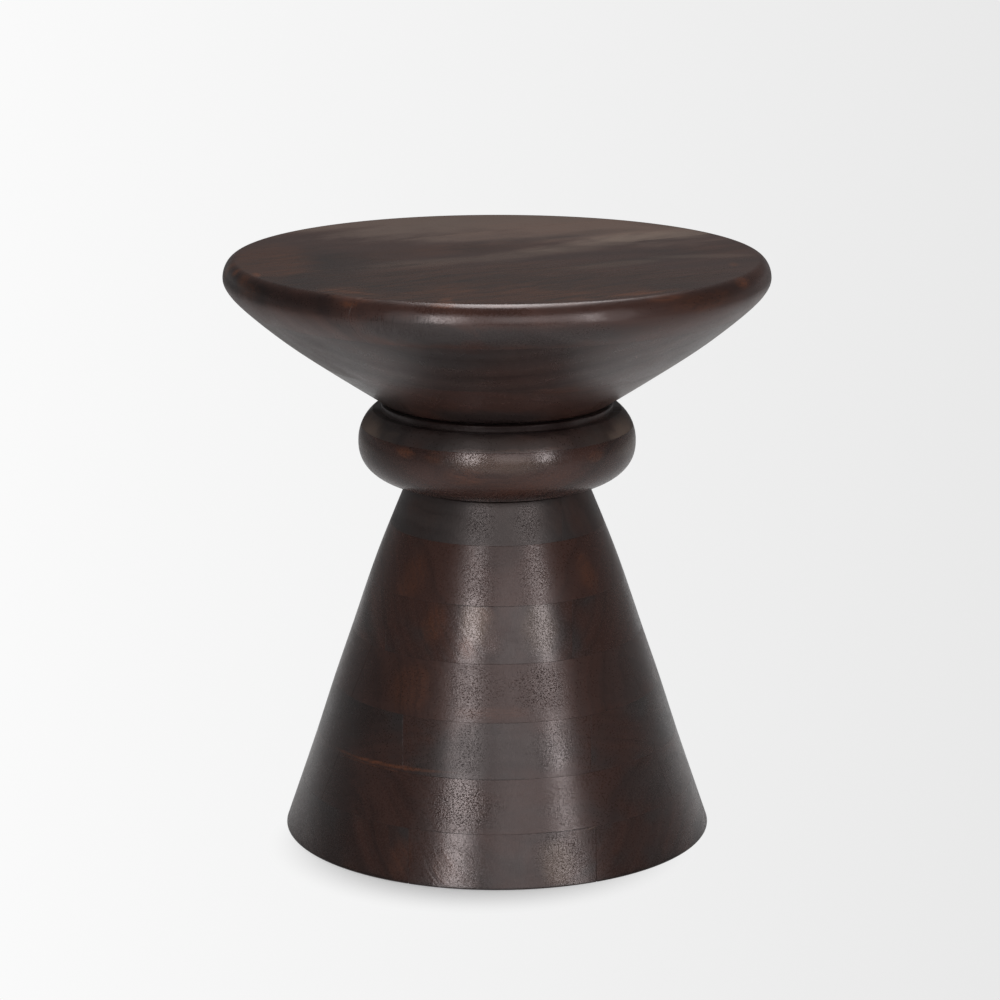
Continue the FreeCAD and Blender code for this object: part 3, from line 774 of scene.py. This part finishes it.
# Marks on the sides, by layer and kind: angle round the table in degrees from the front, height in mm,
# half length and half height in mm, strength and, where it is turned, degrees
SIDE_MARKS = {
    "cone_7": {
        "stipple": [(-8, 287, 16, 20, 2.0), (17, 287, 14, 20, 1.5)],
        "ashen": [(0, 287, 56, 30, 0.9)],
        # The pale mark lightens the front a little, where the lamps fall: painted light
        "pale": [(4, 287, 50, 26, 0.06)],
        "brushed": [(-8, 287, 50, 24, 0.5)],
        "russet": [(56, 287, 30, 30, 0.5)],
        "rubbed": [(48, 290, 30, 16, 0.03), (-52, 290, 30, 16, 0.04)],
    },
    "cone_6": {
        "rubbed": [(-44, 236, 26, 16, 0.15, 70), (47, 243, 14, 22, 0.22)],
        "russet": [(0, 240, 160, 24, 0.5)],
        "line": [(-6, 223, 34, 5, 0.55)],
        "gloss": [(-8, 226, 16, 12, 0.6)],
        "stipple": [(-9, 246, 22, 26, 1.4), (18, 246, 22, 26, 1.2)],
        "brushed": [(4, 240, 50, 26, 0.35)],
    },
    "cone_5": {
        "swirl": [(-9, 201, 26, 26, 0.6), (8, 192, 24, 14, 0.4)],
        "rubbed": [(-27, 205, 14, 18, 0.18), (-12, 190, 13, 9, 0.33, -45), (-5, 214, 12, 12, 0.12)],
        "ashen": [(20, 203, 34, 24, 0.6)],
        "line": [(-6, 223, 34, 5, 0.55)],
        "gloss": [(17, 208, 20, 26, 0.4), (-9, 206, 24, 28, 0.6, -15)],
        "stipple": [(-9, 203, 20, 26, 0.9), (18, 203, 20, 26, 0.9)],
        # The pale marks lie on the lamps' two streaks and brighten them: painted highlights
        "pale": [(-9, 207, 18, 24, 0.62, -10), (18, 205, 18, 24, 0.3)],
        "brushed": [(4, 203, 56, 26, 0.35)],
        "deep": [(5, 205, 12, 26, 0.25)],
    },
    "cone_4": {
        "rubbed": [(-33, 155, 26, 22, 0.12), (-2, 139, 40, 6, 0.13)],
        "russet": [(0, 158, 200, 24, 0.5)],
        "stipple": [(-9, 158, 34, 30, 1.3), (17, 158, 32, 30, 2.0)],
        # The dark mark at -60 degrees darkens the left flank: painted shade
        "deep": [(-60, 156, 60, 40, 0.4)],
        "ashen": [(60, 155, 60, 30, 0.6)],
        "brushed": [(4, 158, 60, 26, 0.35)],
    },
    "cone_3": {
        "ashen": [(0, 110, 78, 26, 0.75)],
        "brushed": [(4, 112, 66, 26, 0.35)],
        "russet": [(46, 110, 40, 26, 0.7), (-46, 112, 36, 20, 0.4)],
        "rubbed": [(-38, 89.5, 66, 1.8, 0.45, 1.5)],
        "line": [(-7, 88, 46, 4, 1.0)],
        "gloss": [(17, 97, 14, 14, 0.5), (17, 112, 24, 30, 0.8)],
        "stipple": [(-9, 112, 26, 26, 0.9), (18, 112, 26, 26, 1.2)],
        # The dark mark at -62 degrees darkens the left flank: painted shade
        "deep": [(-62, 112, 70, 40, 0.6)],
        "dull": [(-9, 112, 26, 30, 0.25)],
    },
    "cone_2": {
        "rubbed": [(-38, 87.5, 66, 1.8, 0.4, 1.5)],
        "line": [(-7, 88, 46, 4, 1.0), (-13, 44, 26, 3, 0.7), (20, 44, 30, 3, 0.8)],
        "stipple": [(-9, 66, 40, 32, 2.2), (18, 66, 26, 28, 1.0)],
        "gloss": [(-9, 66, 36, 34, 1.0), (18, 66, 26, 34, 0.2)],
        # The dark mark at -62 degrees darkens the left flank: painted shade
        "deep": [(-62, 66, 74, 40, 0.6)],
        "ashen": [(60, 66, 70, 30, 0.6)],
        "brushed": [(4, 66, 70, 26, 0.3)],
    },
    "cone_1": {
        "swirl": [(-13, 18, 26, 20, 0.5), (17, 18, 20, 18, 0.3)],
        "rubbed": [(-14, 16, 10, 14, 0.15, 30), (-27, 20, 12, 22, 0.13)],
        "line": [(-13, 44, 26, 3, 0.7), (20, 44, 30, 3, 0.8)],
        # The dark marks darken the foot's lower edge along the floor and the left flank: painted shade
        "deep": [(0, 1, 400, 3, 0.7), (-62, 22, 78, 40, 0.5)],
        "stipple": [(-9, 22, 28, 26, 0.6), (18, 22, 26, 26, 1.5)],
        "gloss": [(-10, 20, 30, 34, 0.8), (17, 20, 22, 26, 0.25)],
        # The first pale mark is a light scratch; the second brightens the lamp's right streak: painted
        # highlight
        "pale": [(28, 43.5, 8, 0.7, 0.6, 8), (17, 18, 18, 20, 0.6)],
        "brushed": [(4, 22, 70, 24, 0.3)],
    },
    "collar_2": {
        # The dark mark darkens the ring under the bowl: painted shade
        "deep": [(0, 370, 130, 6, 0.6)],
        "rubbed": [(0, 355.5, 60, 2, 0.1)],
        "dull": [(-76, 355, 46, 22, 1.6), (76, 355, 46, 22, 1.6)],
        # The pale marks at 52 to 72 degrees lighten the bead's upper flanks, where the lacquer mirrors the
        # bright floor: painted reflection
        "pale": [(-72, 358, 40, 12, 0.5), (72, 358, 40, 12, 0.6), (-66, 352, 34, 14, 0.25),
            (66, 352, 34, 14, 0.3), (52, 356, 30, 14, 0.12), (0, 360, 60, 8, 0.07)],
        "brushed": [(0, 358, 200, 8, 0.4)],
        # The flat dark coat over the ring in the groove under the bowl is painted shade
        "groove_shade": [(0, 374, 112, 9, 1.0)],
    },
    "collar_1": {
        "rubbed": [(-41, 349, 12, 5, 0.3), (-26, 348, 10, 5, 0.12), (-13, 333, 22, 9, 0.18),
            (44, 345, 12, 6, 0.17), (10, 330, 60, 12, 0.07)],
        "stipple": [(-9, 344, 28, 16, 1.6), (19, 344, 28, 16, 1.6)],
        "gloss": [(19, 345, 24, 14, 1.7), (-8, 345, 24, 14, 1.1)],
        # The dark marks darken both flanks of the bead: painted shade
        "deep": [(-58, 336, 56, 24, 0.5), (56, 336, 50, 24, 0.3)],
        # The first pale mark brightens the band between the lamps' two highlights: painted highlight; the
        # others lighten both flanks, where the lacquer mirrors the bright floor: painted reflection
        "pale": [(5, 345, 50, 9, 0.34), (-72, 342, 30, 10, 0.25), (72, 342, 30, 10, 0.35)],
    },
    "bowl_1": {
        "rubbed": [(20, 411, 44, 1.6, 0.21)],
        # The dark marks darken the left flank and the bowl's foot over the groove: painted shade
        "deep": [(-55, 395, 90, 30, 0.6), (0, 378, 130, 12, 0.35)],
        # The flat dark coat on the bowl's foot over the groove is painted shade
        "groove_shade": [(0, 371, 100, 8, 0.9)],
        "ashen": [(0, 380, 130, 12, 0.8)],
    },
    "bowl_2": {
        "ashen": [(-10, 450, 110, 14, 0.6), (0, 436, 210, 34, 0.6)],
        "rubbed": [(20, 415, 44, 1.6, 0.18), (-66, 436, 100, 46, 0.08)],
        # The dark mark at -58 degrees darkens the left flank: painted shade
        "deep": [(-58, 436, 110, 40, 0.7)],
        "dull": [(-66, 436, 100, 46, 0.5)],
        "russet": [(6, 436, 60, 30, 0.4)],
    },
    "bowl_3": {
        "ashen": [(-16, 476, 90, 12, 0.9), (8, 470, 120, 14, 0.9)],
        "russet": [(45, 484, 60, 16, 0.7)],
        "rubbed": [(-80, 494, 12, 10, 0.36), (-62, 488, 26, 9, 0.18), (-31, 493, 12, 4, 0.3),
            (47, 488, 46, 8, 0.13), (-11, 496.5, 12, 2, 0.5), (1, 497, 16, 2, 0.2), (-73, 495, 8, 5, 0.5),
            (-66, 493, 16, 8, 0.3), (-30, 497, 26, 3, 0.25), (14, 497, 30, 2, 0.15), (62, 494, 14, 5, 0.35),
            (36, 495, 24, 3, 0.2)],
        "gloss": [(-2, 495, 60, 5, 0.8), (4, 474, 100, 12, 0.5), (0, 487, 110, 7, 0.45)],
        # The dark marks at -72, -50 and 52 degrees darken the rim's flanks: painted shade
        "deep": [(-50, 489, 130, 12, 0.7), (-72, 490, 90, 14, 0.5), (52, 492, 60, 8, 0.5),
            (10, 474, 120, 10, 0.35)],
        "brushed": [(-22, 479, 60, 12, 1.2), (-40, 490, 60, 9, 0.5)],
        "dull": [(-66, 470, 100, 20, 0.5), (24, 487, 20, 6, 0.9), (-19, 487, 18, 6, 0.9)],
    },
}

# Marks on the face, by kind: mm to the right of and behind its middle, then as on the sides
FACE_MARKS = {
    # The last pale mark lightens the back of the face: painted reflection; the others are light streaks along
    # the grain
    "pale": [(-62, -36, 100, 24, 0.3, 27), (18, 4, 66, 26, 0.26, 40), (82, 62, 72, 28, 0.34, 42),
        (152, 104, 70, 26, 0.34, 20), (95, -42, 66, 14, 0.26, 30), (176, 0, 54, 12, 0.26, 10),
        (0, 180, 320, 130, 0.55)],
    "dull": [(0, 150, 320, 120, 0.7)],
    "russet": [(0, -130, 240, 100, 1.0), (70, 150, 90, 60, 0.5, 20), (-60, 24, 130, 40, 0.8, 26)],
    "rubbed": [(0, -110, 240, 100, 0.22), (-50, 28, 150, 34, 0.2, 26), (70, 150, 150, 60, 0.14, 15),
        (110, -176, 30, 8, 0.35, 28), (-110, -172, 30, 8, 0.35, -30), (0, -190, 260, 60, 0.32),
        (-190, -40, 50, 110, 0.34), (-40, -208, 8, 16, 0.5, -8), (66, -200, 14, 8, 0.3, 10),
        (190, 30, 40, 40, 0.12), (-196, -92, 5, 16, 0.7, 10), (196, -40, 5, 14, 0.3)],
    # The dark marks at the left, at the front and along the front edge darken the face there: painted shade;
    # those turned along the grain are dark figure
    "deep": [(-100, 4, 110, 28, 0.5, 22), (-8, 50, 60, 30, 0.75, 38), (66, 108, 66, 16, 0.32, 35),
        (-170, -60, 100, 120, 0.8), (0, -176, 300, 140, 1.0), (0, -207, 70, 8, 0.7),
        (-82, -191, 50, 8, 0.6, -23), (82, -191, 50, 8, 0.6, 23), (165, 24, 60, 14, 0.25, 14)],
    "gloss": [(0, -120, 260, 130, 0.9)],
}


def board_look(board):
    """The finish of one board: its layer's look, with small differences drawn for the board."""
    c = bpy.context.scene.wood_colours
    seed = sum(ord(letter) * place for place, letter in enumerate(board["node"], 1))
    draw = np.random.default_rng(seed)
    *main, special = LOOKS[board["layer"]]
    look = PLAIN_LOOK | dict(zip(LOOK_KEYS, main))
    look["seat"] = draw.uniform(-3.0, 3.0, 3)
    aside, under, lean = draw.uniform(-0.10, 0.10), draw.uniform(0.02, 0.12), draw.uniform(-0.08, 0.08)
    look["pith"] = (aside, board["bottom"] - under, lean)
    look |= special
    shade = look["tone"] * draw.uniform(0.95, 1.05)
    for key in ("ashen", "russet", "deep", "pale"):
        look[key] = rgba(value * shade for value in getattr(c, key))
    return look


def zinc_steel():
    """Zinc plating: bright, with dull clouds and a fine uneven skin."""
    c = bpy.context.scene.hardware_colours
    material, n, place = new_material("zinc_steel")
    cloud = n.lumps(place, (0.004, 0.004, 0.006), 4.0, 0.6)
    speck = n.lumps(place, (0.0006, 0.0006, 0.0006))
    colour = n.colours(n.smooth(cloud, 0.4, 0.7), rgba(c.zinc), rgba(c.zinc_dull))
    n.surface({"Base Color": colour, "Metallic": 1.0, "Roughness": 0.28 + cloud * 0.2,
               "Normal": n.bump(speck, 0.00002)})
    return material


def nylon():
    """Moulded nylon: nearly white, with a soft grain and slight yellowing."""
    c = bpy.context.scene.hardware_colours
    material, n, place = new_material("nylon")
    grit = n.lumps(place, (0.0007, 0.0007, 0.0007), 3.0)
    cloud = n.lumps(place, (0.012, 0.012, 0.012))
    colour = n.colours(cloud, rgba(c.nylon), rgba(mixed(c.nylon, linear(170, 158, 132), 0.5)))
    n.surface({"Base Color": colour, "Roughness": 0.45 + grit * 0.15, "Normal": n.bump(grit, 0.00003)})
    return material


def bare_wood():
    """Plain beech for the dowels: upright fibres with short dark flecks."""
    c = bpy.context.scene.wood_colours
    material, n, place = new_material("bare_wood")
    fibre = n.lumps(place, (0.0006, 0.0006, 0.012), 3.0, 0.6)
    fleck = n.lumps(place, (0.0009, 0.0009, 0.004), 1.0)
    colour = n.colours(fibre, rgba(c.beech), rgba(mixed(c.beech, linear(140, 96, 62), 0.6)))
    colour = n.colours(n.smooth(fleck, 0.62, 0.72) * 0.6, colour, rgba(linear(112, 72, 44)))
    n.surface({"Base Color": colour, "Roughness": 0.6 + fibre * 0.15, "Normal": n.bump(fibre, 0.00004)})
    return material


def dress(nodes, material):
    for node in nodes:
        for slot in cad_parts[node].material_slots:
            slot.material = material


# Stage

FLOOR_RADII = (40.0, 12.0, 5.0, 2.0, 1.0, 0.6, 0.3, 0.0001)
FLOOR_POINTS = 96
# The table's painted shadow on the floor, a disc where the lit floor with the table's real shadow shows
# through the glow: its middle, the radii that its edge fades between, and its strength
SHADOW_MIDDLE = (-0.014, -0.056, 0.0)
SHADOW_EDGE = (0.098, 0.184)
SHADOW_DEPTH = 0.86
# The floor's two colours fan out from a point this far in front of the table: how fast the second one
# grows from left to right, and its share in the middle
FAN_BACK = 3.104
FAN_GAIN = 3.55
FAN_MIDDLE = 0.496
# The band of the room that the lacquer mirrors: the rise at which it is halved, and its strength
BAND_HEIGHT = 0.06
BAND_STRENGTH = 0.35


def lamp(name, power, width, height, azimuth, elevation, distance, centre=(0.0, 0.0, 0.30)):
    """A soft rectangular lamp that faces the table. Azimuth 0 is in front and 90 to the right."""
    data = bpy.data.lights.new(name, "AREA")
    data.shape = "RECTANGLE"
    data.size, data.size_y = width, height
    data.energy = power
    obj = linked(name, data)
    turn, tilt = math.radians(azimuth), math.radians(elevation)
    way = np.array([math.sin(turn) * math.cos(tilt), -math.cos(turn) * math.cos(tilt), math.sin(tilt)])
    obj.location = np.array(centre) + way * distance
    obj.rotation_euler = (math.pi / 2 - tilt, 0.0, turn)


def set_camera():
    scene = bpy.context.scene
    camera = linked("camera", bpy.data.cameras.new("camera"))
    camera.location = (0.0025, -2.86225, 0.9882)
    camera.rotation_euler = (math.radians(76.23), 0.0, 0.0)
    camera.data.lens = 124.13
    scene.camera = camera
    scene.view_settings.view_transform = "Standard"


def lay_floor():
    """A round floor, which fades from one colour on the left to another on the right. The camera sees
    it glow in its own colour, less inside a painted shadow disc round the table, where the lit floor
    shows with the table's real shadow. The lacquer mirrors it dimmer, and darker on the left, which
    paints shade on the table's left side."""
    look = bpy.context.scene.stage_look
    rings = ring_loops([(radius, 0.0) for radius in FLOOR_RADII], 0.0, 0.0, FLOOR_POINTS)
    floor = linked("floor", capped_tube("floor", rings, closed_below=False))

    material, n, place = new_material("floor")
    x, y, _ = n.axes(place)
    away = n.length(n.mapped(place, seat=SHADOW_MIDDLE))
    clear = n.smooth(away, *SHADOW_EDGE) * SHADOW_DEPTH + (1 - SHADOW_DEPTH)
    fan = x / x.math("MAXIMUM", y + FAN_BACK, 1.0) * FAN_GAIN + FAN_MIDDLE
    colour = n.colours(fan, rgba(look.floor_left), rgba(look.floor_right))
    seen, glossy = n.rays()
    share = seen * clear + glossy * (n.smooth(x, -1.5, 0.8) * 0.07 + 0.08)
    # For mirrored rays the floor turns darker on the left, which paints shade on the table's left side
    dim = n.colours(glossy * (1 - n.smooth(x, -1.2, 0.4)) * 0.40, colour, (0.1, 0.1, 0.1, 1.0))
    diffuse = n.node("BsdfDiffuse", None, {"Color": dim})
    glow = n.node("Emission", None, {"Color": colour})
    n.node("OutputMaterial", None, {"Surface": n.node("MixShader", None, {0: share, 1: diffuse, 2: glow})})
    floor.data.materials.append(material)


def set_world():
    """A dim room. The camera sees it in the floor's colour, and the lacquer mirrors a pale band low down."""
    look = bpy.context.scene.stage_look
    world = bpy.data.worlds.new("studio")
    bpy.context.scene.world = world
    n = Nodes(world)
    up = n.axes(n.node("TexCoord", take="Generated"))[2]
    above = up.math("MAXIMUM", up, 0.0) / BAND_HEIGHT
    seen, glossy = n.rays()
    share = seen + glossy * (BAND_STRENGTH / (above * above + 1))
    pale = mixed(look.floor_left, look.floor_right, 0.5)
    room = n.node("Background", None, {"Color": (1.0, 1.0, 1.0, 1.0), "Strength": look.room})
    backdrop = n.node("Background", None, {"Color": rgba(pale)})
    n.node("OutputWorld", None, {"Surface": n.node("MixShader", None, {0: share, 1: room, 2: backdrop})})


# Operators


class TurnStep:
    """A step that turns one unit."""

    def execute(self, context):
        turn_unit(self.unit)
        return {"FINISHED"}


class TABLE_OT_turn_cone(TurnStep, bpy.types.Operator):
    """Turn the conical foot from its seven layers of boards"""
    bl_idname = "table.turn_cone"
    bl_label = "Turn cone"
    unit = "cone"


class TABLE_OT_turn_collar(TurnStep, bpy.types.Operator):
    """Turn the bead collar with its small ring"""
    bl_idname = "table.turn_collar"
    bl_label = "Turn collar"
    unit = "collar"


class TABLE_OT_turn_bowl(TurnStep, bpy.types.Operator):
    """Turn the bowl-shaped top with its flat face"""
    bl_idname = "table.turn_bowl"
    bl_label = "Turn bowl"
    unit = "bowl"


class TABLE_OT_finish_hardware(bpy.types.Operator):
    """Give the rod, nails, glides and dowels their finishes"""
    bl_idname = "table.finish_hardware"
    bl_label = "Finish hardware"

    def execute(self, context):
        names = list(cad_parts)
        nails = [name for name in names if name.startswith("glide_nail")]
        dress(["tie_rod", "rod_washer", "rod_nut", "threaded_insert"] + nails, zinc_steel())
        dress([name for name in names if name.startswith("glide_") and name not in nails], nylon())
        dress([name for name in names if "dowel" in name], bare_wood())
        return {"FINISHED"}


class TABLE_OT_set_stage(bpy.types.Operator):
    """Set the camera, the lamps, the floor and the background"""
    bl_idname = "table.set_stage"
    bl_label = "Set stage"

    def execute(self, context):
        look = context.scene.stage_look
        set_camera()
        lamp("lamp_left", look.left_lamp, 0.47, 1.3, -21.5, 16.0, 2.6)
        lamp("lamp_right", look.right_lamp, 0.38, 1.3, 39.5, 16.0, 2.6)
        lamp("lamp_fill", look.fill_lamp, 1.6, 1.3, 12.0, 18.0, 3.0)
        lamp("lamp_back", look.back_lamp, 0.9, 2.1, 172.0, 73.0, 2.4, (0.0, 0.0, 0.5))
        lay_floor()
        set_world()
        return {"FINISHED"}


class TABLE_PT_sidebar(bpy.types.Panel):
    """The table's steps, in their order"""
    bl_label = "Turned pedestal table"
    bl_idname = "TABLE_PT_sidebar"
    bl_space_type = "VIEW_3D"
    bl_region_type = "UI"
    bl_category = "Table"

    def draw(self, context):
        for step in STEPS:
            self.layout.operator(step.bl_idname)


STEPS = (
    TABLE_OT_set_stage,
    TABLE_OT_turn_cone,
    TABLE_OT_turn_collar,
    TABLE_OT_turn_bowl,
    TABLE_OT_finish_hardware,
)
GROUPS = {
    "table_sizes": TurnedSizes,
    "wood_colours": WoodColours,
    "hardware_colours": HardwareColours,
    "stage_look": StageLook,
}
CLASSES = tuple(GROUPS.values()) + STEPS + (TABLE_PT_sidebar,)


def register():
    for group in GROUPS.values():
        for word, prop in group.__annotations__.items():
            prop.keywords["name"] = word.replace("_", " ").capitalize()
    for cls in CLASSES:
        bpy.utils.register_class(cls)
    for name, group in GROUPS.items():
        setattr(bpy.types.Scene, name, PointerProperty(type=group))


def unregister():
    for name in GROUPS:
        delattr(bpy.types.Scene, name)
    for cls in reversed(CLASSES):
        bpy.utils.unregister_class(cls)


def main():
    register()
    for step in STEPS:
        getattr(bpy.ops.table, step.bl_idname.removeprefix("table."))()
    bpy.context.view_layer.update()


if __name__ == "__main__":
    main()
